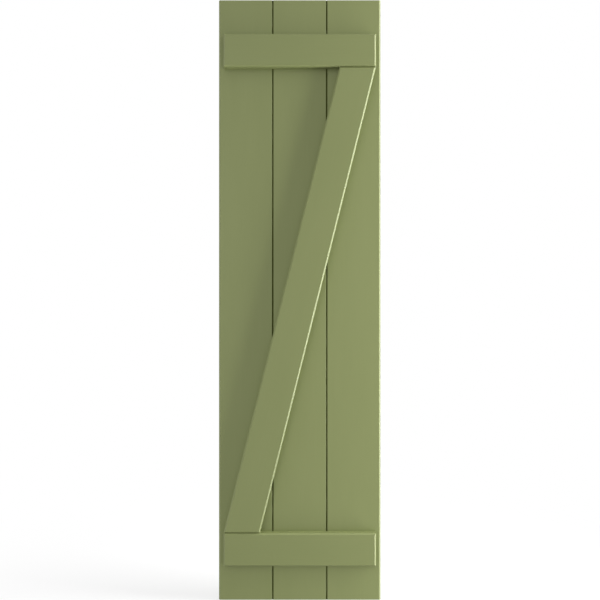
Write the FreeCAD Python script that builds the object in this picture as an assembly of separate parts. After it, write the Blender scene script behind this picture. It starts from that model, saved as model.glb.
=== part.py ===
import FreeCAD, Part
import math
import os

# Board and batten shutter, in millimetres.
# Three upright tongue and groove boards are held together by two level battens and a diagonal brace on
# their front. Flat-head screws, driven from behind, hold the battens and the brace to the boards.
# The origin is the middle of the flat back, which lies on the wall. +Z is up, the front faces -Y, and +X
# is to the right for someone who looks at the front.

# Boards
BOARD_HEIGHT = 1524.0
BOARD_FACE_WIDTH = 137.0
BOARD_THICKNESS = 19.0
TONGUE_THICKNESS = 6.0
TONGUE_TO_FRONT = 3.0
TONGUE_LENGTH = 7.0
TONGUE_CLEARANCE = 0.2
GROOVE_END_CLEARANCE = 1.0
JOINT_GAP = 3.4

# Battens and brace
BATTEN_HEIGHT = 83.0
BATTEN_THICKNESS = 19.0
BATTEN_END_INSET = 13.5
BATTEN_TO_BOARD_END = 91.5
BRACE_WIDTH = 89.0
BRACE_THICKNESS = 19.0
BRACE_GAP = 0.5

# Worked arrises
FRONT_CHAMFER = 3.7
JOINT_CHAMFER = 0.5
BACK_RADIUS = 1.0
CROSSCUT_RADIUS = 1.0

# Screws
SCREW_DIAMETER = 4.2
SCREW_TIP_LENGTH = 5.0
SCREW_TIP_COVER = 6.0
SCREW_CLEARANCE = 0.1
HEAD_DIAMETER = 8.0
HEAD_RIM = 0.4
HEAD_SINK = 0.3
RECESS_TO_RIM = 2.0
RECESS_WIDTH = 1.1
RECESS_DEPTH = 1.8
BATTEN_SCREW_TO_EDGE = 22.0
BATTEN_SCREW_TO_JOINT = 34.0

# Each board's name, the kind of its left and right edge, and the number of screws that hold the brace to it
BOARDS = [
    ("left_board", "plain", "groove", 2),
    ("middle_board", "tongue", "groove", 4),
    ("right_board", "tongue", "plain", 2),
]

# Places that follow from the sizes above
SHUTTER_WIDTH = len(BOARDS) * BOARD_FACE_WIDTH
BOARD_FRONT = -BOARD_THICKNESS
BATTEN_LENGTH = SHUTTER_WIDTH - 2 * BATTEN_END_INSET
BATTEN_OUTER_EDGE = BOARD_HEIGHT / 2 - BATTEN_TO_BOARD_END
BATTEN_INNER_EDGE = BATTEN_OUTER_EDGE - BATTEN_HEIGHT
# The brace fills the space between the battens from corner to opposite corner, with a fine gap at each end, so
# its lean from the vertical is the diagonal's lean less the angle that its own width takes up.
BRACE_END = BATTEN_INNER_EDGE - BRACE_GAP
BRACE_DIAGONAL = math.hypot(BATTEN_LENGTH, 2 * BRACE_END)
BRACE_LEAN = math.atan2(BATTEN_LENGTH, 2 * BRACE_END) - math.asin(BRACE_WIDTH / BRACE_DIAGONAL)
BRACE_END_WIDTH = BRACE_WIDTH / math.cos(BRACE_LEAN)


def prism(outline, along):
    """A straight solid with the given closed outline, as long as the vector along."""
    wire = Part.makePolygon(outline + outline[:1])
    return Part.Face(wire).extrude(along)


def board_sides(index):
    """The left and right edge of one board's face."""
    left = -SHUTTER_WIDTH / 2 + index * BOARD_FACE_WIDTH
    return left, left + BOARD_FACE_WIDTH


def arrises(solid, plane, length=None):
    """The straight edges of a solid that lie in a plane of constant y, or only those of one length."""
    found = [edge for edge in solid.Edges if all(math.isclose(v.Y, plane, abs_tol=1e-6) for v in edge.Vertexes)]
    return [edge for edge in found if length is None or math.isclose(edge.Length, length)]


def edge_outline(side, outward, kind):
    """One edge of a board's section, from its front arris to its back arris. Joints gape at the front only."""
    lip = side if kind == "plain" else side - outward * JOINT_GAP / 2
    chamfer = FRONT_CHAMFER if kind == "plain" else JOINT_CHAMFER
    reach = {"plain": 0, "tongue": TONGUE_LENGTH, "groove": -(TONGUE_LENGTH + GROOVE_END_CLEARANCE)}[kind]
    clearance = TONGUE_CLEARANCE if kind == "groove" else 0
    tongue_front = BOARD_FRONT + TONGUE_TO_FRONT - clearance
    tongue_back = BOARD_FRONT + TONGUE_TO_FRONT + TONGUE_THICKNESS + clearance
    arris = [(lip - outward * chamfer, BOARD_FRONT), (lip, BOARD_FRONT + chamfer)]
    joint = [
        (lip, tongue_front),
        (side + outward * reach, tongue_front),
        (side + outward * reach, tongue_back),
        (side, tongue_back),
    ]
    return arris + (joint if reach else []) + [(side, 0)]


def crosscut_block():
    """The space between the boards' two crosscut ends, with its front and back arrises rounded."""
    length = 2 * SHUTTER_WIDTH
    corner = FreeCAD.Vector(-length / 2, BOARD_FRONT, -BOARD_HEIGHT / 2)
    block = Part.makeBox(length, BOARD_THICKNESS, BOARD_HEIGHT, corner)
    edges = arrises(block, BOARD_FRONT, length) + arrises(block, 0, length)
    return block.makeFillet(CROSSCUT_RADIUS, edges)


def board(index, left_kind, right_kind):
    """One upright board, with its joints along both long edges."""
    left, right = board_sides(index)
    section = edge_outline(right, 1, right_kind) + edge_outline(left, -1, left_kind)[::-1]
    outline = [FreeCAD.Vector(x, y, -BOARD_HEIGHT / 2) for x, y in section]
    plank = prism(outline, FreeCAD.Vector(0, 0, BOARD_HEIGHT))
    plank = plank.makeFillet(BACK_RADIUS, arrises(plank, 0, BOARD_HEIGHT))
    return plank.common(crosscut_block())


def faced_plate(corners, thickness):
    """A flat piece on the boards' front, given by its corners (x, z), with its front arrises chamfered."""
    outline = [FreeCAD.Vector(x, BOARD_FRONT, z) for x, z in corners]
    plate = prism(outline, FreeCAD.Vector(0, -thickness, 0))
    return plate.makeChamfer(FRONT_CHAMFER, arrises(plate, BOARD_FRONT - thickness))


def batten(up):
    """A level batten, near the top of the boards where up is 1 and near the bottom where it is -1."""
    half = BATTEN_LENGTH / 2
    outer, inner = up * BATTEN_OUTER_EDGE, up * BATTEN_INNER_EDGE
    return faced_plate([(-half, outer), (half, outer), (half, inner), (-half, inner)], BATTEN_THICKNESS)


def brace():
    """The diagonal brace, with both ends cut level to lie along the battens."""
    half = BATTEN_LENGTH / 2
    corners = [
        (half - BRACE_END_WIDTH, BRACE_END),
        (half, BRACE_END),
        (-half + BRACE_END_WIDTH, -BRACE_END),
        (-half, -BRACE_END),
    ]
    return faced_plate(corners, BRACE_THICKNESS)


def batten_screw_places(up):
    """Two staggered screws (x, z) through each board into a batten."""
    upper = up * BATTEN_OUTER_EDGE - BATTEN_SCREW_TO_EDGE * up
    lower = up * BATTEN_INNER_EDGE + BATTEN_SCREW_TO_EDGE * up
    places = []
    for index in range(len(BOARDS)):
        left, right = board_sides(index)
        places += [(left + BATTEN_SCREW_TO_JOINT, upper), (right - BATTEN_SCREW_TO_JOINT, lower)]
    return places


def brace_screw_places():
    """Screws (x, z) along the brace's middle line, evenly spaced where it crosses each board."""
    line_end = (BATTEN_LENGTH - BRACE_END_WIDTH) / 2
    places = []
    for index, (_, _, _, count) in enumerate(BOARDS):
        left, right = board_sides(index)
        start, end = max(left, -line_end), min(right, line_end)
        for number in range(count):
            x = start + (end - start) * (number + 0.5) / count
            places.append((x, x / math.tan(BRACE_LEAN)))
    return places


def turned(profile, place):
    """A round solid along Y at a place (x, z), from points of radius and depth behind the back face."""
    outline = [FreeCAD.Vector(radius, -depth, 0) for radius, depth in profile]
    face = Part.Face(Part.makePolygon(outline + outline[:1]))
    solid = face.revolve(FreeCAD.Vector(0, 0, 0), FreeCAD.Vector(0, 1, 0), 360)
    solid.translate(FreeCAD.Vector(place[0], 0, place[1]))
    return solid


def screw_depths(held_thickness):
    """The depth of a screw's cone start, shank start and tip, where it holds a piece of that thickness."""
    cone = HEAD_SINK + HEAD_RIM
    shank = cone + (HEAD_DIAMETER - SCREW_DIAMETER) / 2
    return cone, shank, BOARD_THICKNESS + held_thickness - SCREW_TIP_COVER


def screw(place, held_thickness):
    """A countersunk screw with a cross recess in its head."""
    cone, shank, tip = screw_depths(held_thickness)
    profile = [
        (0, HEAD_SINK),
        (HEAD_DIAMETER / 2, HEAD_SINK),
        (HEAD_DIAMETER / 2, cone),
        (SCREW_DIAMETER / 2, shank),
        (SCREW_DIAMETER / 2, tip - SCREW_TIP_LENGTH),
        (0, tip),
    ]
    span = HEAD_DIAMETER - 2 * RECESS_TO_RIM
    floor = -(HEAD_SINK + RECESS_DEPTH)
    slot = Part.makeBox(span, RECESS_DEPTH, RECESS_WIDTH, FreeCAD.Vector(-span / 2, floor, -RECESS_WIDTH / 2))
    cross = slot.fuse(slot.rotated(FreeCAD.Vector(0, 0, 0), FreeCAD.Vector(0, 1, 0), 90))
    cross.translate(FreeCAD.Vector(place[0], 0, place[1]))
    return turned(profile, place).cut(cross)


def screw_hole(place, held_thickness):
    """The countersink, clearance hole and pilot hole that one screw needs, open at the back."""
    cone, shank, tip = screw_depths(held_thickness)
    head_radius = HEAD_DIAMETER / 2 + SCREW_CLEARANCE
    shank_radius = SCREW_DIAMETER / 2 + SCREW_CLEARANCE
    outside = -HEAD_DIAMETER
    profile = [
        (0, outside),
        (head_radius, outside),
        (head_radius, cone),
        (shank_radius, shank),
        (shank_radius, tip + SCREW_CLEARANCE),
        (0, tip + SCREW_CLEARANCE),
    ]
    return turned(profile, place)


def drilled(piece, holes):
    """The piece with those holes cut out of it, as one solid."""
    return piece.cut(Part.makeCompound(holes)).Solids[0]


def shutter():
    """Every piece of the shutter by name."""
    fixings = {
        "top_batten": (batten(1), batten_screw_places(1), BATTEN_THICKNESS),
        "bottom_batten": (batten(-1), batten_screw_places(-1), BATTEN_THICKNESS),
        "brace": (brace(), brace_screw_places(), BRACE_THICKNESS),
    }
    pieces = {}
    all_holes = []
    for name, (held, places, thickness) in fixings.items():
        holes = [screw_hole(place, thickness) for place in places]
        all_holes += holes
        pieces["diagonal_brace" if name == "brace" else name] = drilled(held, holes)
        for number, place in enumerate(places, 1):
            pieces[f"{name}_screw_{number}"] = screw(place, thickness)
    for index, (name, left_kind, right_kind, _) in enumerate(BOARDS):
        pieces[name] = drilled(board(index, left_kind, right_kind), all_holes)
    return pieces


os.makedirs("parts", exist_ok=True)
for name, piece in shutter().items():
    piece.exportStep(f"parts/{name}.step")
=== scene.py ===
import math

import bpy
from mathutils import Matrix, Vector


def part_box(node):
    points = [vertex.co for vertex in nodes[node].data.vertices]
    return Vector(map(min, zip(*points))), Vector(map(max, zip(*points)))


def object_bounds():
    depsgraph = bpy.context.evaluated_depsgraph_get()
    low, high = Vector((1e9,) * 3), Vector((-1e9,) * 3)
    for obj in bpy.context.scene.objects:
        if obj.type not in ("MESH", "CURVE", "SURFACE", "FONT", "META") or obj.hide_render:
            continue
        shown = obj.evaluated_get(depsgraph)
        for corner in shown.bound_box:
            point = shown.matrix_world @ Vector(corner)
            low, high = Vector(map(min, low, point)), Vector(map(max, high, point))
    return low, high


# The shutter as it comes from the workshop drawings: every piece in place, in metres, with the flat back on
# the plane y = 0, the front facing -Y and the boards upright along Z.
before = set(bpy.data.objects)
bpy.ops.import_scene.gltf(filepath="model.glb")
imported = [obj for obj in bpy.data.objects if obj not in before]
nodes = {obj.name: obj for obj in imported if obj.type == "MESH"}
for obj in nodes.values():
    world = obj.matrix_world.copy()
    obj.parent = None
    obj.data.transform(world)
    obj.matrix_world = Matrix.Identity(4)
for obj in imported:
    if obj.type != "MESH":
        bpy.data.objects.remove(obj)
cad_low, cad_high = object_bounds()

# The boards: three planed softwood boards, tongued and grooved along their edges, with an open line at the
# front of each joint and a chamfer down the panel's two outer edges. They are sprayed with satin sage-green
# paint on every side. The walls and floor of the open joints get a painted shade, a near-black green.
SAGE = (0.208, 0.236, 0.091, 1.0)
SAGE_DEEP = (0.200, 0.228, 0.086, 1.0)
PAINT_ROUGHNESS = 0.42
PAINT_ROUGHNESS_SPREAD = 0.06
PAINT_IOR = 1.45
SPRAY_PER_METRE = 900.0
SPRAY_DETAIL = 2.0
SPRAY_HEIGHT = 0.000012
GRAIN_ACROSS_PER_METRE = 420.0
GRAIN_ALONG_PER_METRE = 7.0
GRAIN_DETAIL = 3.0
GRAIN_HEIGHT = 0.00003
CLOUD_ACROSS_PER_METRE = 20.0
CLOUD_ALONG_PER_METRE = 5.0
CLOUD_DETAIL = 2.0
CLOUD_SHARE = 0.6
DEEPER_FROM = 0.3
DEEPER_TO = 0.7
END_GRAIN_FROM = 0.75
END_GRAIN_TO = 0.95
RING_SPACING = 0.0035
RING_HEIGHT = 0.00004
RING_HEART_DEPTH = 0.09
RING_WOBBLE = 4.0
RING_WOBBLE_DETAIL = 2.0
RING_WOBBLE_SCALE = 0.3
WAVE_RADIANS_PER_UNIT = 20.0
# Painted shade: the near-black green that the walls and floor of the joints take, standing in for the shade
# down in them.
JOINT_PAINTED_SHADE = (0.070, 0.085, 0.014, 1.0)
JOINT_LIP = 0.0008
JOINT_DEPTH = 0.009
EDGE_MARGIN = 0.02
ENDWISE_FROM = 0.1
ENDWISE_TO = 0.3
BOARD_PATTERN_STEP = 1.7

board_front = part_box("middle_board")[0].y


class Signal:
    """A socket in one tree of nodes. Arithmetic on signals adds the nodes that work it out."""

    def __init__(self, tree, socket=None):
        self.tree = tree
        self.socket = socket

    def add(self, kind, settings=None, inputs=None, output=0):
        """Adds a node, with its settings first and then its inputs, and gives one of its outputs."""
        node = self.tree.nodes.new(kind)
        for name, value in (settings or {}).items():
            setattr(node, name, value)
        for name, value in (inputs or {}).items():
            if isinstance(value, Signal):
                self.tree.links.new(value.socket, node.inputs[name])
            else:
                node.inputs[name].default_value = value
        return Signal(self.tree, node.outputs[output] if node.outputs else None)

    def combine(self, operation, first, second):
        """One operation on two values, or on two vectors where either is a vector."""
        vectors = any(isinstance(term, tuple) or getattr(term, "vector", False) for term in (first, second))
        kind = "ShaderNodeVectorMath" if vectors else "ShaderNodeMath"
        return self.add(kind, {"operation": operation}, {0: first, 1: second})

    @property
    def vector(self):
        """Whether the socket gives a vector."""
        return self.socket.type == "VECTOR"

    def __add__(self, other):
        return self.combine("ADD", self, other)

    def __radd__(self, other):
        return self.combine("ADD", other, self)

    def __sub__(self, other):
        return self.combine("SUBTRACT", self, other)

    def __rsub__(self, other):
        return self.combine("SUBTRACT", other, self)

    def __mul__(self, other):
        return self.combine("MULTIPLY", self, other)

    def __rmul__(self, other):
        return self.combine("MULTIPLY", other, self)

    def larger(self, other):
        """The larger of two values."""
        return self.combine("MAXIMUM", self, other)

    def part(self, axis):
        """One of a vector's three values."""
        return self.add("ShaderNodeSeparateXYZ", {}, {0: self}, axis)

    def absolute(self):
        """A value without its sign."""
        return self.add("ShaderNodeMath", {"operation": "ABSOLUTE"}, {0: self})

    def smooth(self, low, high):
        """A soft step from 0 at low to 1 at high."""
        settings = {"interpolation_type": "SMOOTHSTEP"}
        return self.add("ShaderNodeMapRange", settings, {"Value": self, "From Min": low, "From Max": high})

    def blend(self, start, end):
        """A colour between two colours, by this value."""
        return self.add("ShaderNodeMix", {"data_type": "RGBA"}, {0: self, 6: start, 7: end}, 2)

    def turned(self, angle):
        """A vector turned about the Y axis."""
        settings = {"rotation_type": "Y_AXIS"}
        return self.add("ShaderNodeVectorRotate", settings, {"Vector": self, "Angle": angle})


def new_tree(owner):
    """An empty node tree on a new material or world."""
    owner.use_nodes = True
    owner.node_tree.nodes.clear()
    return Signal(owner.node_tree)


def noise(place, scale, detail):
    """Soft noise from 0 to 1 at a place that is stretched by scale, a number or a vector."""
    stretched = place * (scale if isinstance(scale, tuple) else (scale, scale, scale))
    return place.add("ShaderNodeTexNoise", {}, {"Vector": stretched, "Scale": 1.0, "Detail": detail}, "Fac")


def middle(node):
    """The middle of a piece's box."""
    low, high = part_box(node)
    return (low + high) / 2


def coat(node, material):
    """Gives a piece one finish all over."""
    piece = nodes[node]
    piece.data.materials.clear()
    piece.data.materials.append(material)


def growth_rings(along, x):
    """Waves from 0 to 1 around the log's heart, which lies behind the piece, at x across the grain."""
    settings = {"wave_type": "RINGS", "rings_direction": "Z", "wave_profile": "SIN"}
    inputs = {
        "Vector": along - (x, RING_HEART_DEPTH, 0.0),
        "Scale": 2 * math.pi / (RING_SPACING * WAVE_RADIANS_PER_UNIT),
        "Distortion": RING_WOBBLE,
        "Detail": RING_WOBBLE_DETAIL,
        "Detail Scale": RING_WOBBLE_SCALE,
    }
    return along.add("ShaderNodeTexWave", settings, inputs, "Fac")


def joint_shade_mask(place, endwise):
    """1 on the upright walls and the floor of the joints between the boards, where the painted shade goes,
    and 0 elsewhere.
    """
    depth = place.part("Y") - board_front
    line = depth.smooth(0.0, JOINT_LIP) * (1.0 - depth.smooth(JOINT_DEPTH, JOINT_DEPTH + JOINT_LIP))
    edge = cad_high.x - EDGE_MARGIN
    inner = 1.0 - place.part("X").absolute().smooth(edge - EDGE_MARGIN, edge)
    return line * inner * (1.0 - endwise.smooth(ENDWISE_FROM, ENDWISE_TO))


def sage_paint(node, grain_turn, shift):
    """Paints a wooden piece whose grain leans by grain_turn, with a pattern of its own by shift."""
    material = bpy.data.materials.new(f"sage_paint_{node}")
    tree = new_tree(material)
    place = tree.add("ShaderNodeTexCoord", {}, {}, "Object")
    along = place.turned(-grain_turn) + (shift, 0.0, shift)
    facing = tree.add("ShaderNodeNewGeometry", {}, {}, "Normal").turned(-grain_turn)
    endwise = facing.part("Z").absolute()
    crosscut = endwise.smooth(END_GRAIN_FROM, END_GRAIN_TO)
    heart = (Matrix.Rotation(-grain_turn, 3, "Y") @ middle(node)).x + shift

    grain_scale = (GRAIN_ACROSS_PER_METRE, GRAIN_ACROSS_PER_METRE, GRAIN_ALONG_PER_METRE)
    cloud_scale = (CLOUD_ACROSS_PER_METRE, CLOUD_ACROSS_PER_METRE, CLOUD_ALONG_PER_METRE)
    grain = noise(along, grain_scale, GRAIN_DETAIL)
    spray = noise(place, SPRAY_PER_METRE, SPRAY_DETAIL)
    cloud = noise(along, cloud_scale, CLOUD_DETAIL)
    rings = growth_rings(along, heart)
    shaded_joint = joint_shade_mask(place, endwise)

    height = spray * SPRAY_HEIGHT + grain * GRAIN_HEIGHT * (1.0 - crosscut) + rings * RING_HEIGHT * crosscut
    bump = tree.add("ShaderNodeBump", {}, {"Strength": 1.0, "Distance": 1.0, "Height": height})
    roughness = (cloud + grain - 1.0) * PAINT_ROUGHNESS_SPREAD + PAINT_ROUGHNESS
    roughness = roughness + shaded_joint * (1.0 - roughness)
    deeper = (cloud * CLOUD_SHARE + grain * (1.0 - CLOUD_SHARE)).smooth(DEEPER_FROM, DEEPER_TO)
    # Painted shade: down in the joints the colour turns near-black green in place of the shade there.
    colour = shaded_joint.blend(deeper.blend(SAGE, SAGE_DEEP), JOINT_PAINTED_SHADE)
    shader = tree.add(
        "ShaderNodeBsdfPrincipled",
        {},
        {"Base Color": colour, "Roughness": roughness, "Normal": bump, "IOR": PAINT_IOR},
    )
    tree.add("ShaderNodeOutputMaterial", {}, {"Surface": shader})
    coat(node, material)


for number, board in enumerate(("left_board", "middle_board", "right_board")):
    sage_paint(board, 0.0, BOARD_PATTERN_STEP * number)

# The battens: two level boards of the same wood across the front, shorter than the panel is wide, with a
# chamfer round the front face. They are screwed on from behind and painted as the boards are, and their
# grain runs level.
BATTEN_PATTERN = 7.3
BATTEN_PATTERN_STEP = 1.9

for number, batten in enumerate(("top_batten", "bottom_batten")):
    sage_paint(batten, math.radians(90.0), BATTEN_PATTERN + BATTEN_PATTERN_STEP * number)

# The brace: one board of the same wood and paint that leans between the battens, cut level to lie along
# both, with the same chamfer round its front face. Its grain follows its lean, and so does the row of
# screws that holds it from behind.
BRACE_PATTERN = 13.1

brace_line = middle("brace_screw_8") - middle("brace_screw_1")
brace_lean = math.atan2(brace_line.x, brace_line.z)
sage_paint("diagonal_brace", brace_lean, BRACE_PATTERN)

# The screws: countersunk stainless steel screws with a cross recess, driven from behind through the boards
# into the battens and the brace until their heads lie just below the back.
STEEL = (0.46, 0.46, 0.45, 1.0)
STEEL_DULL = (0.30, 0.30, 0.29, 1.0)
STEEL_ROUGHNESS = 0.42
STEEL_ROUGHNESS_SPREAD = 0.2
STAIN_PER_METRE = 700.0
STAIN_DETAIL = 4.0
STAIN_FROM = 0.35
STAIN_TO = 0.7

steel = bpy.data.materials.new("screw_steel_satin")
tree = new_tree(steel)
stain = noise(tree.add("ShaderNodeTexCoord", {}, {}, "Object"), STAIN_PER_METRE, STAIN_DETAIL)
shader = tree.add(
    "ShaderNodeBsdfPrincipled",
    {},
    {
        "Base Color": stain.smooth(STAIN_FROM, STAIN_TO).blend(STEEL, STEEL_DULL),
        "Roughness": stain * STEEL_ROUGHNESS_SPREAD + (STEEL_ROUGHNESS - STEEL_ROUGHNESS_SPREAD / 2),
        "Metallic": 1.0,
    },
)
tree.add("ShaderNodeOutputMaterial", {}, {"Surface": shader})
for name in nodes:
    if "_screw_" in name:
        coat(name, steel)

# The floor: a wide pale studio floor under the shutter's foot, which keeps its shadow and fades into the
# white of the room further out. It throws no light and no shade of its own on the shutter.
FLOOR_REACH = 40.0
FLOOR_PALE = (0.36, 0.36, 0.36, 1.0)
FLOOR_GLOW = 0.56
WHITE = (1.0, 1.0, 1.0, 1.0)
FADE_START = 0.25
FADE_END = 1.2


def seen_rays(tree):
    """1 for what the camera sees, also in a mirror or through glass, and 0 for light on the object."""
    kinds = ("Camera", "Glossy", "Transmission")
    camera, glossy, passed = (tree.add("ShaderNodeLightPath", {}, {}, f"Is {kind} Ray") for kind in kinds)
    return camera.larger(glossy).larger(passed)


foot = cad_low.z
corners = [(-1, -1), (1, -1), (1, 1), (-1, 1)]
sheet = bpy.data.meshes.new("studio_floor")
sheet.from_pydata([(x * FLOOR_REACH, y * FLOOR_REACH, foot) for x, y in corners], [], [(0, 1, 2, 3)])
floor = bpy.data.objects.new("studio_floor", sheet)
bpy.context.scene.collection.objects.link(floor)
floor_finish = bpy.data.materials.new("pale_floor")
tree = new_tree(floor_finish)
place = tree.add("ShaderNodeTexCoord", {}, {}, "Object") * (1.0, 1.0, 0.0)
distance = tree.add("ShaderNodeVectorMath", {"operation": "LENGTH"}, {0: place}, "Value")
seen = seen_rays(tree)
pale = tree.add("ShaderNodeBsdfDiffuse", {}, {"Color": FLOOR_PALE})
glow = tree.add("ShaderNodeEmission", {}, {"Color": WHITE, "Strength": seen * FLOOR_GLOW})
near = tree.add("ShaderNodeAddShader", {}, {0: pale, 1: glow})
white = tree.add("ShaderNodeEmission", {}, {"Color": WHITE, "Strength": 1.0})
fade = distance.smooth(FADE_START, FADE_END) * seen
shader = tree.add("ShaderNodeMixShader", {}, {0: fade, 1: near, 2: white})
tree.add("ShaderNodeOutputMaterial", {}, {"Surface": shader})
sheet.materials.append(floor_finish)
floor.visible_diffuse = False
floor.visible_shadow = False

# The room: even soft light from all round, with a broad glow from a window wall in front and to the left,
# and a weaker one from the ceiling. It is plain white to look at.
ROOM_LIGHT = 0.312
WINDOW_LIGHT = 1.18
WINDOW_TURN = math.radians(-45.0)
WINDOW_RISE = math.radians(22.0)
WINDOW_TIGHTNESS = 5.5
CEILING_LIGHT = 0.80
CEILING_TURN = 0.0
CEILING_RISE = math.radians(85.0)
CEILING_TIGHTNESS = 8.0


def soft_light(tree, turn, rise, strength, tightness):
    """Light that is strongest from one direction, turned from the front and raised, and fades around it."""
    source = (math.sin(turn) * math.cos(rise), -math.cos(turn) * math.cos(rise), math.sin(rise))
    outward = tree.add("ShaderNodeTexCoord", {}, {}, "Generated")
    along = {0: outward, 1: source}
    nearness = tree.add("ShaderNodeVectorMath", {"operation": "DOT_PRODUCT"}, along, "Value")
    fading = {0: (nearness - 1.0) * tightness}
    return tree.add("ShaderNodeMath", {"operation": "EXPONENT"}, fading) * strength


room = bpy.data.worlds.new("white_room")
bpy.context.scene.world = room
tree = new_tree(room)
seen = seen_rays(tree)
window = soft_light(tree, WINDOW_TURN, WINDOW_RISE, WINDOW_LIGHT, WINDOW_TIGHTNESS)
ceiling = soft_light(tree, CEILING_TURN, CEILING_RISE, CEILING_LIGHT, CEILING_TIGHTNESS)
strength = seen + (1.0 - seen) * (window + ceiling + ROOM_LIGHT)
shade = tree.add("ShaderNodeBackground", {}, {"Color": WHITE, "Strength": strength})
tree.add("ShaderNodeOutputWorld", {}, {"Surface": shade})

# The lamps: a tall strip close to the panel's right side, which grazes its front and draws the bright lines
# along the right-hand edges, a weak softbox in front on the left, and a wide lamp behind, for the back.
STRIP_PLACE = (1.20, -0.225, -0.05)
STRIP_SIZE = (0.37, 3.0)
STRIP_POWER = 56.0
SOFTBOX_PLACE = (-1.05, -1.45, 0.05)
SOFTBOX_SIZE = (0.8, 1.6)
SOFTBOX_POWER = 5.0
BACK_LAMP_PLACE = (-0.5, 2.6, 0.9)
BACK_LAMP_SIZE = (1.2, 1.8)
BACK_LAMP_POWER = 45.0


def area_lamp(name, place, size, power):
    """A lamp of one width and height at a place, turned to the middle of the panel."""
    lamp = bpy.data.lights.new(name, "AREA")
    lamp.shape = "RECTANGLE"
    lamp.size, lamp.size_y = size
    lamp.energy = power
    holder = bpy.data.objects.new(name, lamp)
    holder.location = place
    holder.rotation_mode = "QUATERNION"
    holder.rotation_quaternion = (-Vector(place)).to_track_quat("-Z", "Y")
    bpy.context.scene.collection.objects.link(holder)


area_lamp("right_strip", STRIP_PLACE, STRIP_SIZE, STRIP_POWER)
area_lamp("softbox", SOFTBOX_PLACE, SOFTBOX_SIZE, SOFTBOX_POWER)
area_lamp("back_lamp", BACK_LAMP_PLACE, BACK_LAMP_SIZE, BACK_LAMP_POWER)

# The camera: level with the middle of the panel and square to its front, with the panel's full height just
# inside the frame.
SENSOR_MILLIMETRES = 36.0
CAMERA_DISTANCE = 1.85
SEEN_HEIGHT = 1.5247
CAMERA_SIDE = 0.0006

camera = bpy.data.cameras.new("front_view")
camera.sensor_width = SENSOR_MILLIMETRES
camera.lens = SENSOR_MILLIMETRES * CAMERA_DISTANCE / SEEN_HEIGHT
stand = bpy.data.objects.new("front_view", camera)
stand.location = (CAMERA_SIDE, board_front - CAMERA_DISTANCE, 0.0)
stand.rotation_euler = (math.radians(90.0), 0.0, 0.0)
bpy.context.scene.collection.objects.link(stand)
bpy.context.scene.camera = stand
bpy.context.scene.view_settings.view_transform = "Standard"
